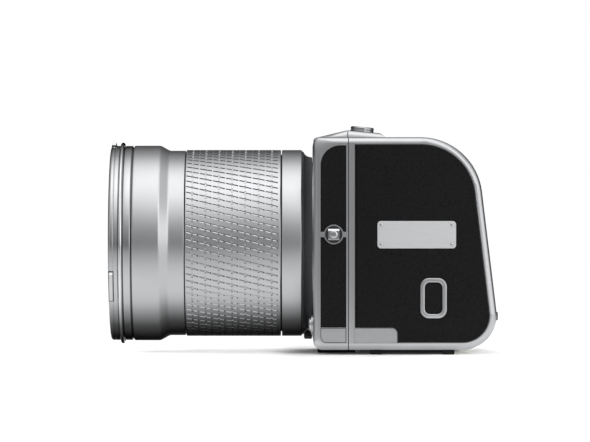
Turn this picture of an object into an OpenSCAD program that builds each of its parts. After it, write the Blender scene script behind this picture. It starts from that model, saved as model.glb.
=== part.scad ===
// Medium format digital camera: a thin front module with a bayonet, a digital back
// that hinges on two hooks under it, and a lens with a knurled focus ring.
// Millimetres. Z is up, the lens points along -Y, the camera's left is +X.
// The origin is the mouth of the tripod socket, on the floor plane.

/* [Body] */
// width over the two side rims
body_w = 91; // [89:0.5:94]
// height of the two frames, without feet and hump
body_h = 86; // [84:0.5:89]
// depth of the front module
front_t = 14.2; // [14.2:0.2:16]
// depth of the back at the lens axis height
back_d = 56.6; // [55.6:0.2:59]
// lean of the rear face, degrees
rear_tilt = 6.9; // [6:0.1:8]
// radius of the upper rear corner
rear_top_r = 25; // [22:0.5:26]
// radius of the lower rear corner
rear_low_r = 14; // [12:0.5:15]
// width of the bare metal rim round each side
rim = 2.8; // [2.6:0.1:3]
// width of the bare metal between the seam and the door
seam_rim = 2.3; // [2.2:0.1:2.8]
// rounding of the frames' side edges
edge_r = 2.6; // [1.4:0.1:2.7]
// height of the feet and of the tripod plate
foot_h = 2; // [2:0.1:2.6]
// rise of the hump above the frames
hump_h = 3.3; // [3:0.1:4]
// width of the hump at its foot
hump_w = 44; // [36:1:50]

/* [Lens] */
// radius of the focus ring
lens_r = 38.5; // [38.2:0.1:40]
// length of the rear ring
rear_ring_len = 8.4; // [7.4:0.2:10]
// length of the focus ring
focus_len = 39; // [36:0.5:44]
// length of the front barrel
barrel_len = 21.3; // [20.5:0.1:26]
// step of the front barrel over the focus ring
barrel_step = 1.8; // [1.4:0.1:2.4]
// travel of the focus group
focus_travel = 4; // [2:0.5:5]

/* [Controls] */
// radius of the lens release button
release_r = 2.8; // [2.2:0.1:3.2]
// radius of the scroll wheel
wheel_r = 7.6; // [6.8:0.1:7.8]
// radius of the shutter release button
shutter_r = 3.3; // [2.6:0.1:3.5]
// radius of the back lock button
knob_r = 4.7; // [3.6:0.1:5]
// width of the tilting display
display_w = 70; // [64:1:74]
// height of the tilting display
display_h = 48; // [44:0.5:48.5]
// width of one menu button
menu_w = 12; // [9:0.5:13]
// length of the nameplate
plate_len = 31.8; // [26:0.5:33]

/* [Fits] */
// radial running clearance
run = 0.05; // [0.03:0.01:0.08]
// gap round the door, the display and the buttons
gap = 0.3; // [0.25:0.05:0.4]
// seam between the front module and the back
seam = 0.3; // [0.2:0.05:0.4]
// radius of the tripod socket
socket_r = 2.55; // [2.4:0.05:2.7]

/* [Hidden] */
$fn = 96;
half_w = body_w / 2;
low_z = foot_h;
top_z = foot_h + body_h;
axis_z = foot_h + body_h / 2;
front_y = -front_t / 2;
frame_y = front_t / 2 - seam / 2;
back_y = front_t / 2 + seam / 2;
rear_y = front_t / 2 + back_d;
// leather and plates lie a little below the rims
skin_t = 0.7;
skin_x = half_w - 1;
// front corners of the front module, which blend to the corners of its leather and its plate
front_top_r = 2.5;
front_low_r = 3.4;
front_skin_r = 8;
front_plate_r = 2.5;
// steps of the rounded side edges
edge_n = 5;
// rear plane: Y cos + Z sin = rear_c
rear_c = rear_y * cos(rear_tilt) + axis_z * sin(rear_tilt);
top_arc_z = top_z - rear_top_r;
top_arc_y = (rear_c - rear_top_r - top_arc_z * sin(rear_tilt)) / cos(rear_tilt);
low_arc_z = low_z + rear_low_r;
low_arc_y = (rear_c - rear_low_r - low_arc_z * sin(rear_tilt)) / cos(rear_tilt);
// lens lengths, from the front face outwards
y_collar = front_y - 0.3;
y_rear = front_y - 4.4;
y_rear_end = y_rear - rear_ring_len;
y_focus = y_rear_end - 0.4;
y_focus_end = y_focus - focus_len;
y_barrel = y_focus_end - 0.3;
y_barrel_end = y_barrel - barrel_len;
y_rim = y_barrel_end - 0.5;
y_rim_end = y_rim - 9;
y_wall = y_rear - 3.5;
y_iris = (y_focus + y_focus_end) / 2 - 2;
y_flange = front_y - 1.75;
// focus cell at rest, clear of the iris by its travel and a little more
cell_len = 7;
cell_end = y_iris + 9.8 + focus_travel;
cell_y = cell_end + cell_len;
guide_r = 31.2;
pivot_r = 29.3;
sleeve_r = lens_r - 2;
sleeve_in = lens_r - 4;
barrel_r = lens_r + barrel_step;
filter_r = lens_r;
// bayonet radii
throat_r = 29.5;
mount_r = 33.5;
tab_r = 27.3;
pin_ring_r = 31.3;
screw_r = 0.65;
screw_head_r = 1.25;
// controls on the front face
ctl_x = half_w - 12;
ctl_z = low_z + 10;
pin_u = [ctl_x, axis_z - ctl_z] / norm([ctl_x, axis_z - ctl_z]);
pin_x = pin_ring_r * pin_u[0];
pin_z = axis_z - pin_ring_r * pin_u[1];
pin_a = atan2(pin_u[1], pin_u[0]);
// the wheel stands clear of the lens, towards the lower right corner of the face
wheel_clear = 1.35;
wheel_u = [-(half_w - 11.5), low_z + 9.9 - axis_z] / norm([half_w - 11.5, low_z + 9.9 - axis_z]);
wheel_x = (lens_r + wheel_r + wheel_clear) * wheel_u[0];
wheel_z = axis_z + (lens_r + wheel_r + wheel_clear) * wheel_u[1];
boss_r = shutter_r + 0.9;
// pocket behind the front wall
wall_t = 4.6;
pock_y = front_y + wall_t;
pock_x = half_w - 4.5;
pock_lo = low_z + 4.5;
pock_hi = top_z - 4.5;
// tripod socket's post inside the front module
post_r = 5;
post_top = low_z + 5.8;
// front edge of the tripod plate, just in front of the post
plate_front = -post_r - 0.2;
// tilt axis under the back
tilt_y = back_y + 3.9;
tilt_z = 1;
// door
door_in = half_w - 2.7;
door_axis_x = half_w - 1.5;
door_axis_y = back_y + seam_rim + gap + 1.2;
badge_top = low_z + 8.75;
badge_rear = back_y + 19.5;
badge_r = 2.2;
// display, in the rear plane's own frame
disp_mid = -1;
disp_hi = disp_mid + display_h / 2;
disp_lo = disp_mid - display_h / 2;
disp_t = 5;
disp_z = -0.4;
disp_axis = disp_hi - disp_t / 2;
tray_wall = 2;
tray_x = display_w / 2 + tray_wall;
tray_hi = disp_hi + tray_wall;
tray_t = 8.5;
// row of menu buttons under the display, standing proud of the lower rear corner
menu_h = 3.4;
menu_p = display_w / 5;
menu_c = disp_lo - 4.82;
menu_z = axis_z + menu_c * cos(rear_tilt);
menu_y = low_arc_y + sqrt(pow(rear_low_r, 2) - pow(low_arc_z - menu_z, 2)) + 0.9;
tray_lo = menu_c - menu_h / 2 - 3;
// hump and knob
hump_front = front_y + 0.35;
hump_mid = back_y + 13.1;
hump_end = back_y + 15.9;
hump_fall = 1.2;
hump_r = 2.5;
hump_flat = hump_w / 2 - hump_r;
hump_n = 4;
knob_y = back_y + 6;
knob_tilt = atan(hump_fall / (hump_mid - back_y));
knob_z = top_z + hump_h - hump_fall * 6 / (hump_mid - back_y);
// insides of the back
in_y = back_y + rim;
in_lo = low_z + rim;
bay_y = in_y + 8;
bay_d = 28;
bay_hi = axis_z + 7;
board_y = bay_y + bay_d;
// feet of the back and the cover between them
foot_w = 8;
foot_in = 4.5;
cover_t = 1.4;
// strap lugs
lug_y = 1.14;
lug_z = axis_z + 3.65;
lug_r = 3.95;
// rim of the front module between the side leather and the seam
front_rim = 0.75;
// three lugs for a hood: where the first one starts and how far each one runs
hood_turn = 16.9;
hood_sweep = 18.4;

// Shapes

// points along an arc
function arc(cy, cz, r, a0, a1, n) =
    [for (i = [0:n]) [cy + r * cos(a0 + (a1 - a0) * i / n), cz + r * sin(a0 + (a1 - a0) * i / n)]];

// one corner of an outline, square if it has no radius
function corner(cy, cz, r, a) = r > 0.1 ? arc(cy, cz, r, a, a + 90, 8) : [[cy, cz]];

// rounded rectangle, corner radii in the order low front, low rear, high rear, high front
function plate(y0, z0, y1, z1, r) = concat(
    corner(y0 + r[0], z0 + r[0], r[0], 180),
    corner(y1 - r[1], z0 + r[1], r[1], 270),
    corner(y1 - r[2], z1 - r[2], r[2], 0),
    corner(y0 + r[3], z1 - r[3], r[3], 90));

// radius of a front corner, inset by d
function blend(outer, inner, d) = outer + (inner - outer) * d / rim;

// side outline of the front module, inset by d, with corners of radius top and low
function rounded_front(d, top, low) = concat(
    arc(front_y + d + top, top_z - d - top, top, 90, 180, 6),
    arc(front_y + d + low, low_z + d + low, low, 180, 270, 6),
    [[frame_y, low_z + d], [frame_y, top_z - d]]);

function front_outline(d) =
    rounded_front(d, blend(front_top_r, front_skin_r, d), blend(front_low_r, front_plate_r, d));

// side outline of the back, inset by d, with its front face left in place
function back_outline(d, front) = concat(
    [[back_y + front, low_z + d], [back_y + front, top_z - d]],
    arc(top_arc_y, top_arc_z, rear_top_r - d, 90, rear_tilt, 16),
    arc(low_arc_y, low_arc_z, rear_low_r - d, rear_tilt, -90, 16));

// outline in the Y and Z plane, extruded from x0 to x1
module across(x0, x1) translate([x0, 0, 0]) rotate([90, 0, 90]) linear_extrude(x1 - x0) children();

// outline in the X and Z plane, extruded from y0 to y1
module along(y0, y1) translate([0, y1, 0]) rotate([90, 0, 0]) linear_extrude(y1 - y0) children();

// profile of radius and Y, turned about the lens axis
module turned(pts) translate([0, 0, axis_z]) rotate([-90, 0, 0]) rotate_extrude() polygon(pts);

// the same over part of a turn, counted from +X towards -Z
module turned_part(pts, a0, a1) translate([0, 0, axis_z]) rotate([-90, 0, 0]) rotate([0, 0, a0])
    rotate_extrude(angle = a1 - a0) polygon(pts);

// plain ring about the lens axis
module ring(r0, r1, y0, y1) turned([[r0, y0], [r1, y0], [r1, y1], [r0, y1]]);

// round rod along Y
module rod(x, z, r, y0, y1) translate([x, y0, z]) rotate([-90, 0, 0]) cylinder(r = r, h = y1 - y0);

// round rod along X
module rod_x(y, z, r, x0, x1) translate([x0, y, z]) rotate([0, 90, 0]) cylinder(r = r, h = x1 - x0);

// box between two corners
module box(a, b) translate(a) cube(b - a);

// frame of the leaning rear face: x to the right seen from behind, y up the face, z out of it
module on_rear() translate([0, rear_y, axis_z]) rotate([rear_tilt, 0, 0]) rotate([90, 0, 180]) children();

// frame of the knob: z out of the hump
module on_hump() translate([0, knob_y, knob_z]) rotate([-knob_tilt, 0, 0]) children();

// one frame with rounded side edges
module front_slab() hull() for (a = [0:90 / edge_n:90])
    across(-half_w + edge_r - edge_r * sin(a), half_w - edge_r + edge_r * sin(a))
        polygon(front_outline(edge_r - edge_r * cos(a)));

module back_slab() hull() for (a = [0:90 / edge_n:90])
    across(-half_w + edge_r - edge_r * sin(a), half_w - edge_r + edge_r * sin(a))
        polygon(back_outline(edge_r - edge_r * cos(a), 0));

// hump over both frames: a wedge with rounded sides
module front_hump() hull() for (a = [0:90 / hump_n:90])
    across(-hump_flat - hump_r * cos(a), hump_flat + hump_r * cos(a))
        polygon([[hump_front, top_z - 1], [frame_y, top_z - 1], [frame_y, top_z + hump_h * sin(a)],
            [hump_front, top_z]]);

module back_hump() hull() for (a = [0:90 / hump_n:90])
    across(-hump_flat - hump_r * cos(a), hump_flat + hump_r * cos(a))
        polygon([[back_y, top_z - 1], [hump_end, top_z - 1], [hump_end, top_z],
            [hump_mid, top_z + (hump_h - hump_fall) * sin(a)], [back_y, top_z + hump_h * sin(a)]]);

// Front module

// outline of the side leather of the front module, down to z0
function front_skin(z0) =
    plate(front_y + 2.9, z0, frame_y - front_rim, top_z - 3.3, [0, 0, 0, front_skin_r]);

// boss ring and its two bars, which stay level with the rim
module lug_boss() {
    translate([lug_y, lug_z]) circle(lug_r);
    translate([front_y, lug_z - 1.05]) square([front_t, 2.1]);
}

module front_frame() color("silver") difference() {
    union() {
        difference() {
            front_slab();
            across(skin_x, half_w + 1) difference() {
                polygon(front_skin(low_z + 9));
                lug_boss();
            }
            across(-half_w - 1, -skin_x) difference() {
                polygon(front_skin(low_z + 2.9));
                lug_boss();
            }
            across(half_w - 0.8, half_w + 1)
                polygon(plate(front_y + 2.9, low_z + 2.85, frame_y - front_rim, low_z + 8.8,
                    [front_plate_r, 0, 0, 0]));
        }
        front_hump();
        rod(ctl_x, ctl_z, release_r + 1.3, front_y - 0.9, front_y + 1);
        rod(wheel_x, wheel_z, boss_r, front_y - 3.3, front_y + 1);
    }
    rod_x(lug_y, lug_z, lug_r - 0.45, half_w - 3, half_w + 1);
    rod_x(lug_y, lug_z, lug_r - 0.45, -half_w - 1, -half_w + 3);
    along(front_y - 0.5, front_y + 0.6) face_skin();
    ring(0, throat_r, front_y - 5, pock_y + 1);
    box([-pock_x, pock_y, pock_lo], [pock_x, frame_y + 1, pock_hi]);
    rod(ctl_x, ctl_z, release_r + run, front_y - 5, pock_y + 1);
    rod(pin_x, pin_z, 1 + run, front_y - 5, pock_y + 1);
    rod(wheel_x, wheel_z, shutter_r + run, front_y - 5, pock_y + 1);
    translate([0, 0, low_z - 1]) cylinder(r = post_r, h = 7);
    box([-4, frame_y - 4, top_z - 4], [4, frame_y + 1, top_z - 0.8]);
    for (a = [0:90:270])
        rod(pin_ring_r * cos(a), axis_z - pin_ring_r * sin(a), screw_r + run, front_y - 1, front_y + 3);
}

// leather area of the front face
module face_skin() difference() {
    polygon(plate(-half_w + 3, low_z + 3, half_w - 3, top_z - 3, [3, 3, 3, 3]));
    translate([0, axis_z]) circle(36.5);
    translate([ctl_x, ctl_z]) circle(release_r + 2);
    translate([wheel_x, wheel_z]) circle(wheel_r + 0.5);
}

module front_leather() color("#1c1c1e") {
    across(skin_x, skin_x + skin_t) difference() {
        polygon(front_skin(low_z + 9));
        lug_boss();
    }
    across(-skin_x - skin_t, -skin_x) difference() {
        polygon(front_skin(low_z + 2.9));
        lug_boss();
    }
    along(front_y + 0.1, front_y + 0.6) face_skin();
}

module front_badge_plate() color("silver")
    across(half_w - 0.8, half_w - 0.2)
        polygon(plate(front_y + 3.1, low_z + 3.05, frame_y - front_rim - 0.2, low_z + 8.6,
            [front_plate_r - 0.2, 0, 0, 0]));

module body_bayonet() color("#c8c8ca") difference() {
    union() {
        ring(throat_r, mount_r, front_y - 1.7, front_y);
        for (a = [65:120:305])
            turned_part([[tab_r, front_y - 1.7], [throat_r + 0.3, front_y - 1.7],
                [throat_r + 0.3, front_y - 0.5], [throat_r - 0.05, front_y - 0.5],
                [throat_r - 0.05, front_y + 0.5], [tab_r, front_y + 0.5]], a, a + 50);
    }
    rod(pin_x, pin_z, 1 + run, front_y - 3, front_y + 1);
    for (a = [0:90:270]) {
        rod(pin_ring_r * cos(a), axis_z - pin_ring_r * sin(a), screw_r + run, front_y - 3, front_y + 1);
        rod(pin_ring_r * cos(a), axis_z - pin_ring_r * sin(a), screw_head_r + run,
            front_y - 3, front_y - 0.7);
    }
}

module bayonet_screws() color("#b0b0b4") for (a = [0:90:270])
    translate([pin_ring_r * cos(a), 0, axis_z - pin_ring_r * sin(a)]) difference() {
        union() {
            rod(0, 0, screw_head_r, front_y - 1.5, front_y - 0.7);
            rod(0, 0, screw_r, front_y - 0.7, front_y + 3);
        }
        box([-0.9, front_y - 2, -0.15], [0.9, front_y - 1.2, 0.15]);
        box([-0.15, front_y - 2, -0.9], [0.15, front_y - 1.2, 0.9]);
    }

module body_contacts() color("#d4af4a") for (i = [-3:3])
    rod(1.8 * i, axis_z - 26, 0.5, front_y + 2.8, pock_y + 1.5);

module strap_lugs() color("#d8d8da") for (s = [-1, 1]) difference() {
    union() {
        rod_x(lug_y, lug_z, 1.5, s > 0 ? half_w - 3 : -half_w - 3.5, s > 0 ? half_w + 3.5 : -half_w + 3);
        rod_x(lug_y, lug_z, 2.45,
            s > 0 ? half_w + 2.9 : -half_w - 5.5, s > 0 ? half_w + 5.5 : -half_w - 2.9);
    }
    box([-half_w - 9, lug_y - 5, lug_z + 2.2], [half_w + 9, lug_y + 5, lug_z + 5]);
    box([-half_w - 9, lug_y - 5, lug_z - 5], [half_w + 9, lug_y + 5, lug_z - 2.2]);
}

module tripod_plate() color("#8c8c90") difference() {
    union() {
        box([-16, plate_front, 0], [16, frame_y - 0.4, foot_h]);
        cylinder(r = post_r, h = post_top);
        for (s = [-1, 1]) {
            box([s * 12 - 2, 0, 0.1], [s * 12 + 2, tilt_y, 1.85]);
            rod_x(tilt_y, tilt_z, 0.9, s * 12 - 2, s * 12 + 2);
        }
    }
    translate([0, 0, -1]) cylinder(r = socket_r, h = 7.5);
    rod_x(tilt_y, tilt_z, 0.5 + run, -20, 20);
}

module light_tunnel() color("#161616") difference() {
    union() {
        box([-pock_x, frame_y - 1.5, pock_lo], [pock_x, frame_y - 0.05, pock_hi]);
        box([-25, pock_y + 0.2, axis_z - 19.5], [25, frame_y - 1.5, axis_z + 19.5]);
        box([-8, pock_y + 1.5, axis_z - 28], [8, frame_y - 1.5, axis_z - 19.5]);
    }
    box([-23, pock_y - 1, axis_z - 17.5], [23, frame_y + 1, axis_z + 17.5]);
}

module front_board() color("#1f5a35")
    box([-30, frame_y - 2.7, post_top + gap], [30, frame_y - 1.5, axis_z - 28.5]);

// Front controls

module lens_release_button() color("silver") {
    rod(ctl_x, ctl_z, release_r, front_y - 2, pock_y + 0.1);
    hull() {
        rod(ctl_x, ctl_z, release_r, pock_y + 0.1, pock_y + 1.3);
        rod(pin_x, pin_z, 1.8, pock_y + 0.1, pock_y + 1.3);
    }
    rod(pin_x, pin_z, 1, front_y - 2.9, pock_y + 0.1);
}

module front_wheel() color("#1a1a1a") difference() {
    rod(wheel_x, wheel_z, wheel_r, front_y - 3.7, front_y - 0.15);
    rod(wheel_x, wheel_z, boss_r + run, front_y - 5, front_y);
}

module shutter_release_button() color("silver") {
    rod(wheel_x, wheel_z, shutter_r, front_y - 4.6, pock_y + 0.1);
    rod(wheel_x, wheel_z, shutter_r + 0.9, pock_y + 0.1, pock_y + 1.1);
}

// Digital back

// opening of the side door, inset by d from the rim
module door_shape(d) difference() {
    polygon(back_outline(rim + d, seam_rim + d));
    polygon(plate(back_y - 1, low_z - 1, badge_rear + d, badge_top + d, [0, 0, badge_r + d, 0]));
}

module back_frame() color("silver") difference() {
    union() {
        difference() {
            union() {
                back_slab();
                back_hump();
            }
            across(-half_w + 3, half_w - 5) polygon(back_outline(rim, rim));
            across(half_w - 6, door_in - 0.3) door_shape(1.7);
            across(door_in - 0.3, half_w + 1) door_shape(0);
            across(half_w - 0.7, half_w + 1)
                polygon(plate(back_y + seam_rim, low_z + rim, badge_rear, badge_top, [0, 0, badge_r, 0]));
            across(-half_w - 1, -half_w + 0.9) polygon(back_outline(rim, rim));
        }
        for (x = [12 - 4.85, 12 + 2.15, -12 - 4.85, -12 + 2.15]) {
            rod_x(tilt_y, tilt_z, 0.95, x, x + 2.7);
            box([x, tilt_y - 0.95, tilt_z], [x + 2.7, tilt_y + 0.95, low_z + 0.5]);
        }
    }
    box([-24, back_y - 1, axis_z - 19], [24, in_y + 1, axis_z + 19]);
    box([-4, back_y - 1, top_z - 4.1], [4, knob_y + 2.5, top_z - 0.7]);
    on_hump() translate([0, 0, -1]) cylinder(r = knob_r + 0.2, h = 8);
    on_hump() translate([0, 0, -8]) cylinder(r = 1.5 + run, h = 12);
    on_rear() box([-tray_x, tray_lo, -tray_t - 1], [tray_x, tray_hi, 8]);
    rod_x(tilt_y, tilt_z, 0.5, -20, 20);
    translate([door_axis_x, door_axis_y, low_z + 3]) cylinder(r = 0.6, h = body_h - 4.5);
}

module right_leather() color("#1c1c1e")
    across(-half_w + 0.2, -half_w + 0.9) polygon(back_outline(rim, rim));

module back_badge_plate() color("silver")
    across(half_w - 0.7, half_w - 0.2)
        polygon(plate(back_y + seam_rim, low_z + rim, badge_rear - 0.2, badge_top - 0.2,
            [0, 0, badge_r - 0.2, 0]));

module sensor() color("#2b3a55") box([-27, in_y, axis_z - 21.5], [27, in_y + 2.4, axis_z + 21.5]);

module sensor_glass() color("#9fd0e8") box([-23, in_y - 1.2, axis_z - 18], [23, in_y, axis_z + 18]);

module sensor_bracket() color("#b5b8bd") {
    box([-34, in_y + 2.4, axis_z - 33], [34, in_y + 5, axis_z + 33]);
    for (x = [-34, 30]) box([x, in_y, axis_z - 33], [x + 4, in_y + 2.4, axis_z + 33]);
}

module main_board() color("#1f5a35")
    box([-half_w + 8, board_y, in_lo], [half_w - 8, board_y + 1.6, axis_z + 30]);

module battery() color("#3a3c40")
    box([-22, bay_y + 1.7, in_lo + 1.5], [half_w - 8, board_y - 1.7, bay_hi - 1.8]);

module battery_bay() color("#242426") difference() {
    box([-24, bay_y, in_lo], [half_w - 5.5, board_y, bay_hi]);
    box([-22.5, bay_y + 1.5, in_lo + 1.5], [half_w, board_y - 1.5, bay_hi - 1.5]);
}

module card_and_port_block() color("#9a9a9e") difference() {
    box([8, bay_y, bay_hi], [half_w - 6, board_y, bay_hi + 16]);
    for (z = [3, 8]) box([14, bay_y + 1.75, bay_hi + z], [half_w, bay_y + 26.25, bay_hi + z + 2.6]);
    rod_x(bay_y + 5, bay_hi + 13.3, 1.75, half_w - 20, half_w);
    rod_x(bay_y + 12, bay_hi + 13.3, 1.75, half_w - 20, half_w);
    box([half_w - 16, bay_y + 16, bay_hi + 12], [half_w, bay_y + 25, bay_hi + 14.6]);
}

// clear space of the display in the rear panel
module display_room() on_rear()
    box([-display_w / 2 - gap, disp_lo - gap, disp_z - disp_t - gap],
        [display_w / 2 + gap, disp_hi + gap, 12]);

module rear_panel() color("#191919") difference() {
    intersection() {
        on_rear() box([-tray_x, tray_lo, -tray_t], [tray_x, tray_hi, 8]);
        across(-half_w, half_w) polygon(back_outline(0.15, rim));
    }
    display_room();
    for (i = [-2:2])
        box([i * menu_p - menu_w / 2 - 0.1, menu_y - 15, menu_z - menu_h / 2 - 0.1],
            [i * menu_p + menu_w / 2 + 0.1, menu_y + 2, menu_z + menu_h / 2 + 0.1]);
    on_rear() translate([0, disp_axis, disp_z - disp_t / 2]) rod_x(0, 0, 1, -tray_x, tray_x);
}

module hinge_pins() color("#a8a8ac") {
    for (s = [-1, 1]) rod_x(tilt_y, tilt_z, 0.5, s * 12 - 4.85, s * 12 + 4.85);
    translate([door_axis_x, door_axis_y, top_z - 7]) cylinder(r = 0.6, h = 5.5);
    translate([door_axis_x, door_axis_y, low_z + 3]) cylinder(r = 0.6, h = 10);
    on_rear() translate([0, disp_axis, disp_z - disp_t / 2]) {
        rod_x(0, 0, 1, display_w / 2 - 4, tray_x);
        rod_x(0, 0, 1, -tray_x, -display_w / 2 + 4);
    }
}

module bottom_cover() color("#161616")
    box([-half_w + foot_in + 9, back_y + 9, foot_h - cover_t], [half_w - foot_in - 9, back_y + 43, foot_h]);

module back_feet() color("#111111")
    for (x = [-half_w + foot_in, half_w - foot_in - foot_w]) for (y = [8.7, 38])
        box([x, back_y + y, 0], [x + foot_w, back_y + y + 4.8, foot_h]);

module back_lock_button() color("#d4d4d6") {
    on_hump() rotate_extrude() polygon([[0, 0], [knob_r, 0], [knob_r, 0.8], [knob_r - 0.3, 0.95],
        [knob_r - 0.3, 1.15], [knob_r, 1.3], [knob_r, 1.9], [knob_r - 0.4, 2.3], [0, 2.3]]);
    on_hump() translate([0, 0, -4.6]) cylinder(r = 1.5, h = 4.7);
    box([-3, frame_y - 3, top_z - 3], [3, knob_y + 1.2, top_z - 1.6]);
}

// Side door

module side_door() color("#1e1e20") difference() {
    union() {
        across(door_in, skin_x) difference() {
            door_shape(gap);
            square([door_axis_y, 200]);
        }
        translate([door_axis_x, door_axis_y, badge_top + gap])
            cylinder(r = 1.2, h = top_z - rim - gap - badge_top - gap);
    }
    translate([door_axis_x, door_axis_y, 0]) cylinder(r = 0.6 + run, h = 200);
    across(door_in - 1, skin_x + 1) latch_hole(0.1);
}

// inner opening of the latch ring
module latch_hole(d) translate([back_y + 34.25, low_z + 20.9])
    polygon(plate(-3.4 - d, -6.25 - d, 3.4 + d, 6.25 + d, [2, 2, 2, 2]));

// outer edge of the latch ring
module latch_edge() translate([back_y + 34.25, low_z + 20.9])
    polygon(plate(-5.4, -8.2, 5.4, 8.2, [3.6, 3.6, 3.6, 3.6]));

module door_leather() color("#1c1c1e") across(skin_x, skin_x + skin_t) difference() {
    door_shape(gap);
    square([door_axis_y + 1.3, 200]);
    latch_edge();
}

module nameplate() color("#c4c4c8") {
    across(skin_x + skin_t, skin_x + skin_t + 0.6) translate([back_y + 11.55, axis_z - 2])
        polygon(plate(0, 0, plate_len, 11.1, [1.4, 1.4, 1.4, 1.4]));
    for (y = [1.6, plate_len - 1.6]) for (z = [1.6, 9.5])
        rod_x(back_y + 11.55 + y, axis_z - 2 + z, 0.55, skin_x + skin_t + 0.3, skin_x + skin_t + 0.85);
}

module latch_bezel() color("silver") across(skin_x, half_w + 0.3) difference() {
    latch_edge();
    latch_hole(0.1);
}

module door_latch_button() color("#1c1c1e") {
    across(door_in - 0.1, half_w - 0.3) latch_hole(0);
    across(door_in - 0.9, door_in - 0.1) latch_hole(0.7);
}

// Display and menu buttons

module display_frame() color("#202022") difference() {
    on_rear() union() {
        box([-display_w / 2, disp_lo, disp_z - disp_t], [display_w / 2, disp_axis, disp_z]);
        translate([0, disp_axis, disp_z - disp_t / 2])
            rod_x(0, 0, disp_t / 2, -display_w / 2, display_w / 2);
    }
    on_rear() box([-display_w / 2 + 4, disp_lo + 2, disp_z - 0.8],
        [display_w / 2 - 4, disp_axis - 0.5, disp_z + 1]);
    on_rear() translate([0, disp_axis, disp_z - disp_t / 2]) {
        rod_x(0, 0, 1 + run, display_w / 2 - 4.2, display_w);
        rod_x(0, 0, 1 + run, -display_w, -display_w / 2 + 4.2);
    }
}

module display_glass() color("#0b0d10") on_rear()
    box([-display_w / 2 + 4, disp_lo + 2, disp_z - 0.8], [display_w / 2 - 4, disp_axis - 0.5, disp_z]);

module menu_button(i) color("#141414")
    box([i * menu_p - menu_w / 2, menu_y - 8.2, menu_z - menu_h / 2],
        [i * menu_p + menu_w / 2, menu_y, menu_z + menu_h / 2]);

module menu_button_1() menu_button(-2);
module menu_button_2() menu_button(-1);
module menu_button_3() menu_button(0);
module menu_button_4() menu_button(1);
module menu_button_5() menu_button(2);

// Lens

module lens_bayonet() color("#c8c8ca") difference() {
    union() {
        turned([[25, front_y + 2.5], [tab_r - run, front_y + 2.5], [tab_r - run, y_flange], [33.2, y_flange],
            [33.2, y_rear - 1.5], [25, y_rear - 1.5]]);
        for (a = [65:120:305])
            turned_part([[tab_r - 1, front_y + 0.7], [29.2, front_y + 0.7], [29.2, front_y + 2.5],
                [tab_r - 1, front_y + 2.5]], a, a + 50);
    }
    turned_part([[pin_ring_r - 1.1, y_flange - 1.35], [pin_ring_r + 1.1, y_flange - 1.35],
        [pin_ring_r + 1.1, y_flange + 0.5], [pin_ring_r - 1.1, y_flange + 0.5]], pin_a - 3, pin_a + 63);
}

module rear_collar() color("#161616")
    turned(concat([[mount_r + 0.2, y_rear], [lens_r - 0.5, y_rear]],
        [for (i = [1:5]) [lens_r - 0.5 - 2.5 * sin(18 * i), y_rear + 0.6 + 3.5 * (1 - cos(18 * i))]],
        [[mount_r + 0.2, y_collar]]));

module rear_ring() color("silver")
    turned([[33.2, y_rear - 1.5], [33.2, y_rear], [lens_r - 0.4, y_rear], [lens_r, y_rear - 0.4],
        [lens_r, y_rear_end + 0.2], [lens_r - 0.2, y_rear_end], [sleeve_r, y_rear_end],
        [sleeve_r, y_rear - 1.5]]);

module lens_barrel() color("#1a1a1c")
    turned([[25, y_rear - 1.5], [sleeve_r, y_rear - 1.5], [sleeve_r, y_rim - 4], [sleeve_in, y_rim - 4],
        [sleeve_in, y_wall], [25, y_wall]]);

module front_barrel() color("silver")
    turned([[sleeve_r, y_barrel], [lens_r - 0.5, y_barrel], [lens_r - 0.3, y_barrel - 0.2],
        [lens_r - 0.3, y_barrel - 6.9], [barrel_r, y_barrel - 10.2], [barrel_r, y_barrel_end + 0.3],
        [barrel_r - 0.3, y_barrel_end], [sleeve_r, y_barrel_end]]);

module front_ring() color("silver") {
    difference() {
        turned([[sleeve_r, y_rim], [barrel_r - 0.4, y_rim], [barrel_r - 0.1, y_rim - 0.3],
            [barrel_r - 0.1, y_rim_end + 0.8], [barrel_r - 0.4, y_rim_end + 0.2], [barrel_r - 0.9, y_rim_end],
            [filter_r + 0.3, y_rim_end], [filter_r, y_rim_end + 0.3], [filter_r, y_rim - 4],
            [sleeve_r, y_rim - 4]]);
        ring(barrel_r - 0.22, barrel_r + 2, y_rim - 5, y_rim - 3.4);
    }
    for (a = [hood_turn, hood_turn + 120, hood_turn + 240])
        turned_part([[barrel_r - 0.5, y_rim_end + 0.3], [barrel_r + 1, y_rim_end + 0.3],
            [barrel_r + 1.2, y_rim_end + 0.5], [barrel_r + 1.2, y_rim_end + 1.7],
            [barrel_r + 1, y_rim_end + 1.9], [barrel_r - 0.5, y_rim_end + 1.9]], a, a + hood_sweep);
}

module hood_lock_ring() color("#7a7a7e") translate([0, y_rim - 4.2, axis_z]) rotate([-90, 0, 0])
    rotate_extrude() translate([barrel_r + 0.55, 0]) circle(0.75, $fn = 32);

module front_retainer() color("#121212")
    turned([[30, y_rim + 4.4], [sleeve_in, y_rim + 4.4], [sleeve_in, y_rim - 3.6],
        [sleeve_in - 0.5, y_rim - 3.6], [29.4, y_rim + 0.8], [29.4, y_rim + 1.6], [30, y_rim + 1.6]]);

module front_element() color("#a8c8e0")
    turned(concat([[0, y_rim - 2.8]],
        [for (i = [1:10]) [3 * i, y_rim - 2.8 + 100 - sqrt(10000 - 9 * i * i)]],
        [for (i = [10:-1:1]) [3 * i, y_rim + 7.9 - 130.3 + sqrt(130.3 * 130.3 - 9 * i * i)]],
        [[0, y_rim + 7.9]]));

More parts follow.
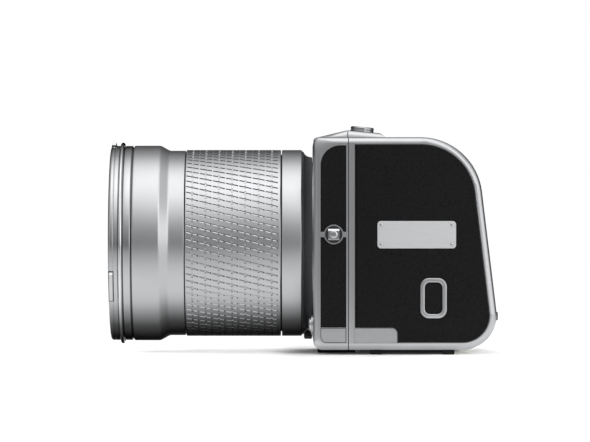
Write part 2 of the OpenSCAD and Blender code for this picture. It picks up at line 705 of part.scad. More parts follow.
module rear_element() color("#a8c8e0")
    turned(concat([[0, y_rear - 2]],
        [for (i = [1:10]) [2.5 * i, y_rear - 2 + 150 - sqrt(22500 - 6.25 * i * i)]],
        [for (i = [10:-1:1]) [2.5 * i, y_rear + 6 - 110 + sqrt(12100 - 6.25 * i * i)]],
        [[0, y_rear + 6]]));

// pivot of one iris blade
function blade_pivot(k) = [pivot_r * cos(72 * k), axis_z - pivot_r * sin(72 * k)];

module iris_housing() color("#1c1c1e") {
    difference() {
        turned([[19, y_iris], [sleeve_in, y_iris], [sleeve_in, y_iris - 8.4], [31.75, y_iris - 8.4],
            [31.75, y_iris - 3], [19, y_iris - 3]]);
        for (k = [0:4]) rod(blade_pivot(k)[0], blade_pivot(k)[1], 0.8 + run, y_iris - 4, y_iris - 1);
    }
    for (s = [-1, 1]) rod(s * guide_r, axis_z, 1, y_iris - 0.5, y_wall);
}

module focus_ring() color("#b8b8bc")
    turned([[sleeve_r + run, y_focus], [lens_r - 0.3, y_focus], [lens_r, y_focus - 0.3],
        [lens_r, y_focus_end + 0.3], [lens_r - 0.3, y_focus_end], [sleeve_r + run, y_focus_end]]);

module focus_cell() color("#1c1c1e") difference() {
    union() {
        ring(21, 26, cell_end, cell_y);
        for (s = [-1, 1]) {
            box([s > 0 ? 24 : -guide_r, cell_end, axis_z - 1.5],
                [s > 0 ? guide_r : -24, cell_y, axis_z + 1.5]);
            rod(s * guide_r, axis_z, 2.5, cell_end, cell_y);
        }
    }
    for (s = [-1, 1]) rod(s * guide_r, axis_z, 1 + run, cell_end - 1, cell_y + 1);
}

module focus_element() color("#a8c8e0")
    turned(concat([[0, cell_end - 0.4]],
        [for (i = [1:7]) [3 * i, cell_end - 0.4 + 90 - sqrt(8100 - 9 * i * i)]],
        [[21, cell_y - 0.5], [0, cell_y - 0.5]]));

module iris_ring() color("#2a2a2c") ring(20, 31.75 - run, y_iris - 7.9, y_iris - 6.2);

module iris_blade(k) color("#0e0e0e") translate([0, 0, axis_z]) rotate([-90, 0, 0]) rotate([0, 0, 72 * k]) {
    translate([0, 0, y_iris - 3.6 - 0.55 * k]) linear_extrude(0.3)
        polygon(concat(arc(0, 0, 26.5, 5, 112, 18), arc(0, 0, 19.2, 112, -4, 18),
            [[26, -2], [pivot_r, -1.6], [pivot_r + 1.6, 0], [pivot_r, 1.6], [26.4, 2]]));
    translate([pivot_r, 0, y_iris - 3.5 - 0.55 * k]) cylinder(r = 0.8, h = 2 + 0.55 * k);
}

module iris_blade_1() iris_blade(0);
module iris_blade_2() iris_blade(1);
module iris_blade_3() iris_blade(2);
module iris_blade_4() iris_blade(3);
module iris_blade_5() iris_blade(4);

front_frame();
front_leather();
front_badge_plate();
body_bayonet();
bayonet_screws();
body_contacts();
strap_lugs();
tripod_plate();
light_tunnel();
front_board();
lens_release_button();
front_wheel();
shutter_release_button();
back_frame();
right_leather();
back_badge_plate();
sensor();
sensor_glass();
sensor_bracket();
main_board();
battery();
battery_bay();
card_and_port_block();
rear_panel();
hinge_pins();
bottom_cover();
back_feet();
back_lock_button();
side_door();
door_leather();
nameplate();
latch_bezel();
door_latch_button();
display_frame();
display_glass();
menu_button_1();
menu_button_2();
menu_button_3();
menu_button_4();
menu_button_5();
lens_bayonet();
rear_collar();
rear_ring();
lens_barrel();
front_barrel();
front_ring();
hood_lock_ring();
front_retainer();
front_element();
rear_element();
iris_housing();
focus_ring();
focus_cell();
focus_element();
iris_ring();
iris_blade_1();
iris_blade_2();
iris_blade_3();
iris_blade_4();
iris_blade_5();
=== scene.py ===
import math

import bmesh
import bpy
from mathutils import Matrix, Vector, geometry


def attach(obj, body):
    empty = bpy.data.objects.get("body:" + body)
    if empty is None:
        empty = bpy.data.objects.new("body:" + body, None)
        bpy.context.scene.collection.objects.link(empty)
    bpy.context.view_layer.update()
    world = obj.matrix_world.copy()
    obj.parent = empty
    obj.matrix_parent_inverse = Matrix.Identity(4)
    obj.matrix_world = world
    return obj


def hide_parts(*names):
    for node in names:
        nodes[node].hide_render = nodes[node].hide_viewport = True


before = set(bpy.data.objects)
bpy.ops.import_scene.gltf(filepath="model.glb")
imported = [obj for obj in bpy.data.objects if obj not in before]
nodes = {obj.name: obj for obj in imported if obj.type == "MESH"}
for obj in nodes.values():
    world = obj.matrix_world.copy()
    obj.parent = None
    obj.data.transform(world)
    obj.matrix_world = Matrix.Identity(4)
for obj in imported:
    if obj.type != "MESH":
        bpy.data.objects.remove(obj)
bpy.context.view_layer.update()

MM = 0.001  # one millimetre in metres
WELD = 2e-6  # points nearer than this are one, in metres

# Sizes of the camera in millimetres, as in the solids
AXIS_Z = 45.0  # height of the lens axis
LENS_R = 38.5  # focus ring
BARREL_R = 40.3  # front barrel
RIM_R = 40.2  # front ring
SLEEVE_R = 36.5  # bore of the outer rings
HALF_W = 45.5  # half the width of the body
SKIN_X = 44.5  # ground under the leather
SKIN_T = 0.7  # thickness of the leather
BACK_Y = 7.25  # front of the digital back
LOW_Z = 2.0  # underside of the body
TOP_Z = 88.0  # top of the body
RIM = 2.8  # metal rim round the leather
REAR_TILT = math.radians(6.9)  # lean of the rear face
REAR_Y = 63.7  # rear face at the height of the axis
HINGE_Y = 11.05  # front edge of the door
SEAM_RIM = 2.3  # metal rim along the seam
LUG_Y, LUG_Z = 1.14, 48.65  # middle of the strap studs
HOOD_TURN, HOOD_SWEEP = 16.9, 18.4  # start and reach of a hood lug in degrees
RELEASE = (33.5, 12.0)  # lens release button
LOCK_PIN = (22.30, 23.03)  # pin that locks the lens
WHEEL = (-34.0, 11.9)  # scroll wheel
LATCH = (41.5, 22.9)  # middle of the door latch
PLATE_LOW, PLATE_HIGH = (18.8, 43.0), (50.6, 54.1)  # corners of the nameplate
KNOB = Vector((0, 13.25, 90.75))  # foot of the lock button's disc
KNOB_TILT = math.radians(5.23)  # lean of the lock button

# Helpers for node trees


def linear(code):
    """Linear colour of an sRGB hex code."""
    parts = [int(code[i:i + 2], 16) / 255 for i in (1, 3, 5)]
    return [p / 12.92 if p <= 0.04045 else ((p + 0.055) / 1.055) ** 2.4 for p in parts] + [1.0]


def add(tree, kind, links=None, **settings):
    """A node with its settings, and links from other nodes' sockets to its inputs."""
    made = tree.nodes.new("ShaderNode" + kind)
    for key, value in settings.items():
        if key.startswith("in_"):
            made.inputs[int(key[3:])].default_value = value
        else:
            setattr(made, key, value)
    for name, source in (links or {}).items():
        tree.links.new(source, made.inputs[name])
    return made


def socket_name(key):
    """Name of a shader's socket from a plain key such as base_color."""
    return key.replace("_", " ").title().replace("Ior", "IOR")


def finish_named(name, **sockets):
    """A material with one principled shader, its tree and its shader."""
    material = bpy.data.materials.new(name)
    material.use_nodes = True
    shader = material.node_tree.nodes["Principled BSDF"]
    for key, value in sockets.items():
        shader.inputs[socket_name(key)].default_value = value
    return material, material.node_tree, shader


def plug(tree, shader, **sources):
    """The first output of each node, linked to the shader's socket of that name."""
    for key, source in sources.items():
        tree.links.new(source.outputs[0], shader.inputs[socket_name(key)])


def per_mm(size):
    """Pattern scale for a feature of that size in millimetres, on coordinates in metres."""
    return 1 / (size * MM)


# Finishes


def blasted_aluminium(name, low_rough, high_rough):
    """Bead-blasted, clear anodised aluminium: soft broad highlights and a fine dull grit.

    The real grit is too fine to show, so it is drawn at half a millimetre.
    """
    material, tree, shader = finish_named(name, metallic=1.0)
    place = add(tree, "TexCoord").outputs["Object"]
    grit = add(tree, "TexNoise", {"Vector": place}, in_2=per_mm(0.45), in_3=4.0).outputs["Fac"]
    wear = add(tree, "TexNoise", {"Vector": place}, in_2=per_mm(14), in_3=3.0).outputs["Fac"]
    rough = add(tree, "MapRange", {"Value": grit}, in_3=low_rough, in_4=high_rough)
    tone = add(tree, "MixRGB", {"Fac": wear}, in_1=linear("#C6C7C9"), in_2=linear("#D3D4D6"))
    bump = add(tree, "Bump", {"Height": grit}, in_0=0.22, in_1=0.02 * MM)
    plug(tree, shader, base_color=tone, roughness=rough, normal=bump)
    return material


def groove_shade_paint():
    """The same metal at the bottom of the knurl, dull and painted dark as the shade in its grooves.
    """
    material, tree, shader = finish_named("groove_shade_paint", metallic=1.0, roughness=0.6)
    place = add(tree, "TexCoord").outputs["Object"]
    grit = add(tree, "TexNoise", {"Vector": place}, in_2=per_mm(0.3), in_3=3.0).outputs["Fac"]
    tone = add(tree, "MixRGB", {"Fac": grit}, in_1=linear("#18181A"), in_2=linear("#2A2A2C"))
    plug(tree, shader, base_color=tone)
    return material


def plate_aluminium(name, low, high, metal):
    """Etched aluminium plate: a paler, flatter metal with a faint horizontal brushing.

    The real strokes are too fine to show, so they are drawn a quarter of a millimetre wide.
    """
    material, tree, shader = finish_named(name, metallic=metal)
    place = add(tree, "TexCoord").outputs["Object"]
    along = add(tree, "Mapping", {"Vector": place}, in_3=(per_mm(6), per_mm(6), per_mm(0.25)))
    lines = add(tree, "TexNoise", {"Vector": along.outputs[0]}, in_2=1.0, in_3=3.0).outputs["Fac"]
    rough = add(tree, "MapRange", {"Value": lines}, in_3=0.38, in_4=0.52)
    tone = add(tree, "MixRGB", {"Fac": lines}, in_1=linear(low), in_2=linear(high))
    bump = add(tree, "Bump", {"Height": lines}, in_0=0.1, in_1=0.01 * MM)
    plug(tree, shader, base_color=tone, roughness=rough, normal=bump)
    return material


def polished_metal(name, low, high, rough):
    """Polished or plated metal: near mirror, with faint wipe marks in the gloss."""
    material, tree, shader = finish_named(name, metallic=1.0)
    place = add(tree, "TexCoord").outputs["Object"]
    wipe = add(tree, "TexNoise", {"Vector": place}, in_2=per_mm(3), in_3=5.0).outputs["Fac"]
    gloss = add(tree, "MapRange", {"Value": wipe}, in_3=rough * 0.7, in_4=rough * 1.3)
    tone = add(tree, "MixRGB", {"Fac": wipe}, in_1=linear(low), in_2=linear(high))
    plug(tree, shader, base_color=tone, roughness=gloss)
    return material


def leatherette():
    """Embossed black leatherette: fine pebbles that catch a dull sheen on their crowns."""
    material, tree, shader = finish_named("leatherette", specular_ior_level=0.2)
    place = add(tree, "TexCoord").outputs["Object"]
    sway = add(tree, "TexNoise", {"Vector": place}, in_2=per_mm(2.2), in_3=2.0)
    bent = add(tree, "MixRGB", {"Color1": place, "Color2": sway.outputs["Color"]}, in_0=0.0006)
    pebble = add(tree, "TexVoronoi", {"Vector": bent.outputs[0]}, feature="SMOOTH_F1",
                 in_2=per_mm(0.75)).outputs["Distance"]
    crown = add(tree, "MapRange", {"Value": pebble}, in_2=0.75, in_3=1.0, in_4=0.0).outputs[0]
    tone = add(tree, "MixRGB", {"Fac": crown}, in_1=linear("#060607"), in_2=linear("#101011"))
    rough = add(tree, "MapRange", {"Value": crown}, in_3=0.75, in_4=0.55)
    bump = add(tree, "Bump", {"Height": crown}, in_0=0.5, in_1=0.06 * MM)
    plug(tree, shader, base_color=tone, roughness=rough, normal=bump)
    return material


def black_anodised():
    """Black anodised aluminium: deep black with a soft metal sheen on curves.

    Its grit is drawn as coarse as that of the blasted metal, so that it shows.
    """
    material, tree, shader = finish_named("black_anodised", metallic=0.85)
    place = add(tree, "TexCoord").outputs["Object"]
    grit = add(tree, "TexNoise", {"Vector": place}, in_2=per_mm(0.5), in_3=3.0).outputs["Fac"]
    rough = add(tree, "MapRange", {"Value": grit}, in_3=0.24, in_4=0.36)
    tone = add(tree, "MixRGB", {"Fac": grit}, in_1=linear("#303032"), in_2=linear("#3E3E40"))
    plug(tree, shader, base_color=tone, roughness=rough)
    return material


def moulded_plastic(name, low, high, rough, grain):
    """Moulded plastic, rubber or lacquer: a dull skin with a grain of that size in millimetres.

    The real grain is too fine to show, so the sizes given are coarser.
    """
    material, tree, shader = finish_named(name)
    place = add(tree, "TexCoord").outputs["Object"]
    spark = add(tree, "TexNoise", {"Vector": place}, in_2=per_mm(grain), in_3=4.0).outputs["Fac"]
    gloss = add(tree, "MapRange", {"Value": spark}, in_3=rough - 0.08, in_4=rough + 0.08)
    tone = add(tree, "MixRGB", {"Fac": spark}, in_1=linear(low), in_2=linear(high))
    bump = add(tree, "Bump", {"Height": spark}, in_0=0.25, in_1=0.02 * MM)
    plug(tree, shader, base_color=tone, roughness=gloss, normal=bump)
    return material


def coated_glass(name, tint, edge, ior):
    """Optical glass with a thin coating: clear, with a coloured sheen near its rim."""
    material, tree, shader = finish_named(name, transmission_weight=1.0, roughness=0.0, ior=ior)
    rim = add(tree, "LayerWeight", in_0=0.35).outputs["Facing"]
    tone = add(tree, "MixRGB", {"Fac": rim}, in_1=linear(tint), in_2=linear(edge))
    plug(tree, shader, base_color=tone)
    return material


def screen_glass():
    """Black cover glass over a dark panel: mirror gloss with a trace of the panel's lines.

    The real lines are too fine to show, so they are drawn two millimetres apart.
    """
    material, tree, shader = finish_named("screen_glass", coat_weight=1.0, coat_roughness=0.03)
    place = add(tree, "TexCoord").outputs["Object"]
    grid = add(tree, "TexWave", {"Vector": place}, in_1=per_mm(2.0), in_2=1.0).outputs["Fac"]
    tone = add(tree, "MixRGB", {"Fac": grid}, in_1=linear("#060708"), in_2=linear("#0B0D10"))
    rough = add(tree, "MapRange", {"Value": grid}, in_3=0.08, in_4=0.12)
    plug(tree, shader, base_color=tone, roughness=rough)
    return material


def circuit_board():
    """Green solder mask over copper tracks: a glossy board with paler lines."""
    material, tree, shader = finish_named("circuit_board", coat_weight=0.4)
    place = add(tree, "TexCoord").outputs["Object"]
    track = add(tree, "TexBrick", {"Vector": place}, in_1=linear("#1B5A38"),
                in_2=linear("#236B45"), in_3=linear("#2F7F55"), in_4=per_mm(2.0))
    speck = add(tree, "TexNoise", {"Vector": place}, in_2=per_mm(1), in_3=2.0).outputs["Fac"]
    rough = add(tree, "MapRange", {"Value": speck}, in_3=0.3, in_4=0.45)
    plug(tree, shader, base_color=track, roughness=rough)
    return material


ALUMINIUM = blasted_aluminium("blasted_aluminium", 0.25, 0.36)
TURNED_ALUMINIUM = blasted_aluminium("turned_aluminium", 0.14, 0.22)
# Dark metal that paints the shade in the knurl's grooves and slots
GROOVE_SHADE = groove_shade_paint()
NAMEPLATE = plate_aluminium("etched_nameplate", "#BCBDBF", "#CECFD1", 0.3)
BADGE = plate_aluminium("brushed_badge", "#A4A5A7", "#B8B9BB", 0.6)
POLISHED = polished_metal("polished_steel", "#C9CACC", "#DEDFE1", 0.16)
BRIGHT_WIRE = polished_metal("bright_chrome", "#E6E7E9", "#F3F4F6", 0.12)
SATIN_CHROME = polished_metal("satin_chrome", "#B0B1B3", "#C4C5C7", 0.22)
# Dark metal that paints the shade in the gaps and slots of the front ring
GAP_SHADE = polished_metal("painted_gap_shade", "#505153", "#626365", 0.2)
# Dark steel that paints the shade on the tripod plate under the body
PLATE_SHADE = polished_metal("dark_plate_shade", "#2A2A2C", "#3A3A3C", 0.4)
BAYONET = polished_metal("chromed_brass", "#BFC0C3", "#D2D3D6", 0.22)
TINNED = polished_metal("tinned_steel", "#8F9094", "#A6A7AB", 0.32)
CAST = polished_metal("cast_aluminium", "#9A9B9F", "#B0B1B4", 0.45)
GOLD = polished_metal("gold_plating", "#C9A24A", "#DDB75E", 0.2)
LEATHER = leatherette()
BLACK_METAL = black_anodised()
BLACK_PLASTIC = moulded_plastic("black_plastic", "#111113", "#19191B", 0.45, 0.35)
# Satin black lacquer of the collar, also used to paint the shade in the stud recesses
LACQUER_AND_SHADE = moulded_plastic("satin_lacquer_and_shade", "#4A4A4C", "#585A5C", 0.3, 0.5)
# Black rubber of the feet, also used as painted shade under the front corner plate
RUBBER_AND_SHADE = moulded_plastic("black_rubber_and_shade", "#0B0B0B", "#131313", 0.8, 0.5)
BATTERY = moulded_plastic("battery_case", "#2A2C30", "#34363A", 0.5, 0.4)
CERAMIC = moulded_plastic("sensor_ceramic", "#20304A", "#2B3D5C", 0.35, 0.3)
LENS_GLASS = coated_glass("lens_glass", "#EEF3FF", "#9FA6D8", 1.6)
FILTER_GLASS = coated_glass("filter_glass", "#C8E6F0", "#8FC4D8", 1.52)
SCREEN = screen_glass()
BOARD = circuit_board()

# Helpers for meshes


def piece(name, shape, body, material, stands_for=(), crease=32, second=None):
    """A new piece from points and faces in millimetres, riding on a body of the camera.

    A shape with a second material also says, face by face, which of the two it has.
    """
    mesh = bpy.data.meshes.new(name)
    mesh.from_pydata([Vector(p) * MM for p in shape[0]], [], shape[1])
    mesh.materials.append(material)
    if second:
        mesh.materials.append(second)
        mesh.polygons.foreach_set("material_index", shape[2])
    work = bmesh.new()
    work.from_mesh(mesh)
    bmesh.ops.remove_doubles(work, verts=work.verts, dist=WELD)
    bmesh.ops.recalc_face_normals(work, faces=work.faces)
    for face in work.faces:
        face.smooth = True
    work.to_mesh(mesh)
    work.free()
    mesh.set_sharp_from_angle(angle=math.radians(crease))
    made = bpy.data.objects.new(name, mesh)
    bpy.context.scene.collection.objects.link(made)
    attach(made, body)
    if stands_for:
        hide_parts(*stands_for)
    return made


def joined(*shapes):
    """Several shapes as one."""
    points, faces = [], []
    for shape in shapes:
        shift = len(points)
        points += shape[0]
        faces += [tuple(i + shift for i in face) for face in shape[1]]
    return points, faces


def prism(near, far):
    """A block between two loops that have the same number of points."""
    n = len(near)
    sides = [(i, (i + 1) % n, n + (i + 1) % n, n + i) for i in range(n)]
    return near + far, [tuple(range(n)), tuple(range(n, 2 * n))] + sides


def eased(outline, size, steps=3):
    """A closed outline with each corner eased by a small curve."""
    straight = math.radians(174)
    made = []
    for i, at in enumerate(outline):
        corner = Vector(at)
        back = Vector(outline[i - 1]) - corner
        on = Vector(outline[(i + 1) % len(outline)]) - corner
        if min(back.length, on.length) < 1e-6 or back.angle(on) > straight:
            made.append(corner)
            continue
        start = corner + back.normalized() * min(size, back.length * 0.45)
        end = corner + on.normalized() * min(size, on.length * 0.45)
        for k in range(steps + 1):
            t = k / steps
            made.append(start * (1 - t) ** 2 + corner * 2 * t * (1 - t) + end * t * t)
    return made


def turned(profile, at=(0, 0, AXIS_Z), along=(0, 1, 0), steps=192, closed=True, start=0.0,
           sweep=360.0, wave=None):
    """A profile of radius and height turned about an axis, over a full turn or part of one.

    A wave changes the radius from step to step.
    """
    axis = Vector(along).normalized()
    side = axis.orthogonal().normalized() if abs(axis.x) > 0.5 else Vector((1, 0, 0))
    side = (side - axis * side.dot(axis)).normalized()
    other = side.cross(axis)
    full = sweep >= 360
    rows = steps if full else steps + 1
    n = len(profile)
    points, faces = [], []
    for i in range(rows):
        a = math.radians(start + sweep * i / steps)
        out = side * math.cos(a) + other * math.sin(a)
        for r, h in profile:
            points.append(Vector(at) + out * (wave(r, i) if wave else r) + axis * h)
    for i in range(steps):
        j = (i + 1) % rows
        for k in range(n if closed else n - 1):
            m = (k + 1) % n
            faces.append((i * n + k, j * n + k, j * n + m, i * n + m))
    if not full:
        faces += [tuple(range(n)), tuple(range(steps * n, steps * n + n))]
    return points, faces


def arc(cy, cz, r, a0, a1, n):
    """Points along an arc, angles in degrees."""
    turns = [math.radians(a0 + (a1 - a0) * i / n) for i in range(n + 1)]
    return [(cy + r * math.cos(t), cz + r * math.sin(t)) for t in turns]


def rounded(low, high, radii, n=10):
    """Rounded rectangle, radii in the order low front, low rear, high rear, high front."""
    (y0, z0), (y1, z1) = low, high
    corners = [(y0, z0, 1, 1, 180), (y1, z0, -1, 1, 270), (y1, z1, -1, -1, 0),
               (y0, z1, 1, -1, 90)]
    made = []
    for (y, z, sy, sz, a), r in zip(corners, radii):
        made += arc(y + sy * r, z + sz * r, r, a, a + 90, n) if r > 0.05 else [(y, z)]
    return made


def drawn_in(loop, d):
    """A loop moved towards its left side by d."""
    made = []
    for i, at in enumerate(loop):
        here = Vector(at)
        a = (here - Vector(loop[i - 1])).normalized()
        b = (Vector(loop[(i + 1) % len(loop)]) - here).normalized()
        na, nb = Vector((-a.y, a.x)), Vector((-b.y, b.x))
        way = na + nb
        way = way / max(way.dot(na), 0.3) if way.length > 1e-6 else na
        made.append(here + way * d)
    return made


def slab(loops, x_low, x_top, ease, steps=3):
    """A flat sheet across X with its upper edges eased.

    The first loop is the outline and has the sheet on its left, as the holes after it have.
    """
    sign = 1 if x_top > x_low else -1
    layers = [(x_low, 0.0)]
    for k in range(steps + 1):
        t = math.radians(90 * k / steps)
        layers.append((x_top - sign * ease * (1 - math.sin(t)), ease * (1 - math.cos(t))))
    points, faces = [], []
    for loop in loops:
        n = len(loop)
        first = len(points)
        for x, d in layers:
            points += [(x, p[0], p[1]) for p in drawn_in(loop, d)]
        for k in range(len(layers) - 1):
            for i in range(n):
                j = (i + 1) % n
                base, top = first + k * n, first + (k + 1) * n
                faces.append((base + i, base + j, top + j, top + i))
    for layer in (0, len(layers) - 1):
        flat, index, first = [], [], 0
        for loop in loops:
            n = len(loop)
            start = first + layer * n
            flat.append([Vector((points[start + i][1], points[start + i][2], 0)) for i in range(n)])
            index += list(range(start, start + n))
            first += n * len(layers)
        faces += [tuple(index[i] for i in t) for t in geometry.tessellate_polygon(flat)]
    return points, faces


def dress(name, material, ease):
    """A finish on a CAD node: its edges eased, its curves smooth, its shape as it is."""
    made = nodes[name]
    mesh = made.data
    if "custom_normal" in mesh.attributes:
        mesh.attributes.remove(mesh.attributes["custom_normal"])
    mesh.polygons.foreach_set("use_smooth", [True] * len(mesh.polygons))
    mesh.materials.clear()
    mesh.materials.append(material)
    made.modifiers.new("weld", "WELD").merge_threshold = WELD
    flat = made.modifiers.new("flat", "DECIMATE")
    flat.decimate_type = "DISSOLVE"
    flat.angle_limit = math.radians(0.5)
    if ease:
        edge = made.modifiers.new("edge", "BEVEL")
        edge.width = ease * MM
        edge.segments = 2
        edge.limit_method = "ANGLE"
        edge.angle_limit = math.radians(50)
    made.modifiers.new("normals", "WEIGHTED_NORMAL").keep_sharp = True


# Lens


def lens_ring(name, profile, material, node, ease=0.25):
    """One turned ring of the lens with eased edges."""
    return piece(name, turned(eased(profile, ease)), "lens", material, [node])


def outer_rings():
    """The concave black collar, the silver band before it, and the barrel with its taper."""
    turns = [math.radians(9 * i) for i in range(1, 11)]
    hollow = [(38.0 - 2.5 * math.sin(t), -10.9 + 3.5 * (1 - math.cos(t))) for t in turns]
    collar = [(33.7, -11.5), (38.0, -11.5)] + hollow + [(33.7, -7.4)]
    lens_ring("concave_collar", collar, LACQUER_AND_SHADE, "rear_collar", 0.12)
    band = [(33.2, -13.0), (33.2, -11.5), (38.1, -11.5), (LENS_R, -11.9), (LENS_R, -19.7),
            (38.3, -19.9), (SLEEVE_R, -19.9), (SLEEVE_R, -13.0)]
    lens_ring("rear_band", band, ALUMINIUM, "rear_ring")
    barrel = [(SLEEVE_R, -59.6), (38.0, -59.6), (38.2, -59.8), (38.2, -66.2), (BARREL_R, -69.95),
              (BARREL_R, -80.6), (40.0, -80.9), (SLEEVE_R, -80.9)]
    lens_ring("tapered_barrel", barrel, ALUMINIUM, "front_barrel", 0.7)


def filter_rim():
    """Front ring with its filter thread and a groove for the wire ring."""
    pitch, crest, root = 0.75, 38.1, 38.5
    thread = []
    for i in range(6):
        y = -89.9 + pitch * i
        thread += [(root, y), (crest, y + 0.3), (crest, y + 0.4), (root, y + 0.7)]
    profile = [(SLEEVE_R, -81.4), (39.9, -81.4), (RIM_R, -81.7), (RIM_R, -84.35), (39.5, -84.38),
               (39.5, -86.57), (RIM_R, -86.6), (RIM_R, -88.2), (40.05, -88.3), (40.05, -88.5),
               (RIM_R, -88.6), (RIM_R, -89.5), (39.9, -90.1), (39.4, -90.4), (38.8, -90.4)]
    profile += thread + [(SLEEVE_R, -85.4)]
    piece("filter_rim", turned(eased(profile, 0.12, 2), steps=256), "lens", TURNED_ALUMINIUM,
          ["front_ring"])


def hood_fittings():
    """Three lugs for a hood, the wire ring, and dark metal under the lugs and in the gaps beside
    the rings that paints their shade.
    """
    lug = eased([(39.8, -90.0), (41.5, -90.0), (41.5, -88.5), (39.8, -88.5)], 0.25)
    lug_shade = eased([(39.8, -90.25), (40.5, -90.25), (40.5, -88.25), (39.8, -88.25)], 0.1)
    steps, end_r, margin = 18, 40.7, 0.5

    def low_ends(r, i):
        """The same height along a lug, and less at its two ends."""
        return r if 0 < i < steps else min(r, end_r)

    lugs, lug_shades = [], []
    for a in (HOOD_TURN, HOOD_TURN + 120, HOOD_TURN + 240):
        start = -a - HOOD_SWEEP
        lugs.append(turned(lug, steps=steps, start=start, sweep=HOOD_SWEEP, wave=low_ends))
        lug_shades.append(turned(lug_shade, steps=20, start=start - margin, sweep=HOOD_SWEEP + 2 * margin))
    piece("hood_lugs", joined(*lugs), "lens", POLISHED, ["front_ring"])
    # Dark metal in the wire's slot, in the gap behind the front ring and under the lugs paints the
    # shade there.
    slot = [(39.45, -84.4), (39.75, -84.4), (39.75, -85.15), (40.1, -85.25), (40.1, -85.95),
            (39.75, -86.05), (39.75, -86.55), (39.45, -86.55)]
    gap = [(SLEEVE_R, -80.92), (39.5, -80.92), (39.5, -81.38), (SLEEVE_R, -81.38)]
    piece("shade_trim", joined(turned(slot), turned(gap), *lug_shades), "lens", GAP_SHADE)
    wire_r = 0.75
    turns = [t * math.pi / 10 for t in range(20)]
    wire = [(40.85 + wire_r * math.cos(t), -85.6 + wire_r * math.sin(t)) for t in turns]
    piece("hood_wire", turned(wire, steps=256), "lens", BRIGHT_WIRE,
          ["hood_lock_ring"])


def front_glass():
    """Ribbed light trap and the front element behind it."""
    step = 0.55
    ribs = []
    for i in range(8):
        in_by = step * i
        ribs += [(34.0 - in_by, -85.0 + in_by), (33.75 - in_by, -84.5 + in_by)]
    baffle = [(30, -77), (34.5, -77), (34.5, -85.0)] + ribs
    baffle += [(29.4, -80.6), (29.4, -79.8), (30, -79.8)]
    piece("ribbed_baffle", turned(baffle), "lens", BLACK_METAL, ["front_retainer"])
    front_curve, back_curve = 100.0, 130.3
    radii = [1.5 * i for i in range(21)]
    front = [(r, -84.2 + front_curve - math.sqrt(front_curve ** 2 - r ** 2)) for r in radii]
    back = [(r, -73.5 - back_curve + math.sqrt(back_curve ** 2 - r ** 2)) for r in reversed(radii)]
    piece("front_lens", turned(front + back, steps=128, closed=False), "lens", LENS_GLASS,
          ["front_element"])


def knurled_sleeve():
    """Focus ring cut with leaning rows of grooves, by turns a long one and two short ones in line.

    Each groove has a steep wall above and a slope of bare metal below, and shade is painted
    dark on the wall and on its rear end. A slot across the rows meets each long groove in its
    middle, and another runs through the gap between two short ones, with shade painted on the lower
    end of each slot.
    """
    pairs, columns = 42, 7
    # Plain lip at both ends, and the depths of a groove, of the step in its slope and of a slot
    lip, depth, shelf, slot = 0.25, 0.44, 0.17, 0.18
    first_row = 2.05
    y_body, y_front = -20.3, -59.3
    row = math.pi * LENS_R / pairs
    lean = math.tan(math.radians(14.4))
    brick = 5.4
    half = brick / 2
    # Where a groove starts in its brick, and where it has its full depth
    clear, full = 0.22, 0.32
    # Lines across a pair of rows, from below, each with what is cut there
    groove = [(-0.4, "slot"), (0.0, "slope"), (0.13, "groove"), (0.2, "slot")]
    long_row = [(-0.8, ""), (-0.5, "slot")] + groove + [(0.4, "slot"), (0.7, "")]
    short_row = [(-1.15, ""), (-0.85, "slot")] + groove + [(0.5, "slot"), (0.8, "")]
    across = long_row + [(row + s, kind) for s, kind in short_row]
    lines = len(long_row)
    wall = 2 + groove.index((0.13, "groove"))
    # Places along a brick, from the front, each with what is cut there
    cuts = [(0.0, ""), (clear, ""), (full, "cut"), (half - 0.45, "cut"), (half - 0.35, "long"),
            (half - 0.22, "mid"), (half + 0.22, "mid"), (half + 0.35, "long"), (half + 0.45, "cut"),
            (brick - 0.7, "cut"), (brick - full, "end"), (brick - clear, "")]
    lengths = [(lip + brick * c + v, where) for c in range(columns) for v, where in cuts]
    lengths.append((lip + brick * columns, ""))

    def sunk(i, where, kind):
        """Depth on line i of a pair of rows, of that kind, at that place along a groove."""
        cut = where in ("cut", "end") or (where in ("long", "mid") and i < lines)
        if kind == "groove" and cut:
            return depth
        if where == "mid" and kind and i != wall + 1:
            return slot
        return shelf if kind == "slope" and cut else 0.0

    def is_painted_shade(i, k):
        """Faces painted with shade: the steep walls of a groove, its slope at the rear end, and the
        end below a slot.
        """
        at = k - len(ends)
        if not 0 <= at < len(lengths) - 1:
            return False
        if i % lines in (wall - 1, wall):
            return min(sunk(i, lengths[q][1], "groove") for q in (at, at + 1)) == depth
        if i % lines == wall - 2 and lengths[at + 1][1] == "end":
            return True
        return i % lines == 0 and lengths[at][1] == "mid" and lengths[at + 1][1] == "mid"

    ends = [(0.0, SLEEVE_R + 0.05), (0.0, LENS_R - 0.3), (0.1, LENS_R - 0.09), (0.3, LENS_R)]
    total = y_body - y_front
    points, faces, shade_faces = [], [], []
    around = pairs * len(across)
    for pair in range(pairs):
        for i, (s, kind) in enumerate(across):
            place = 2 * row * pair + s + first_row
            stations = ends + [(v, LENS_R - sunk(i, where, kind)) for v, where in lengths]
            stations += [(total - v, r) for v, r in reversed(ends)]
            for v, r in stations:
                a = (place - lean * v) / LENS_R
                points.append((r * math.cos(a), y_front + v, AXIS_Z + r * math.sin(a)))
    n = len(ends) * 2 + len(lengths)
    for i in range(around):
        j = (i + 1) % around
        for k in range(n):
            m = (k + 1) % n
            faces.append((i * n + k, j * n + k, j * n + m, i * n + m))
            shade_faces.append(1 if is_painted_shade(i, k) else 0)
    # The dark groove metal goes on the marked faces as painted shade in the grooves and slots.
    piece("knurled_sleeve", (points, faces, shade_faces), "focus_sleeve", ALUMINIUM,
          ["focus_ring"], crease=15, second=GROOVE_SHADE)


# Body


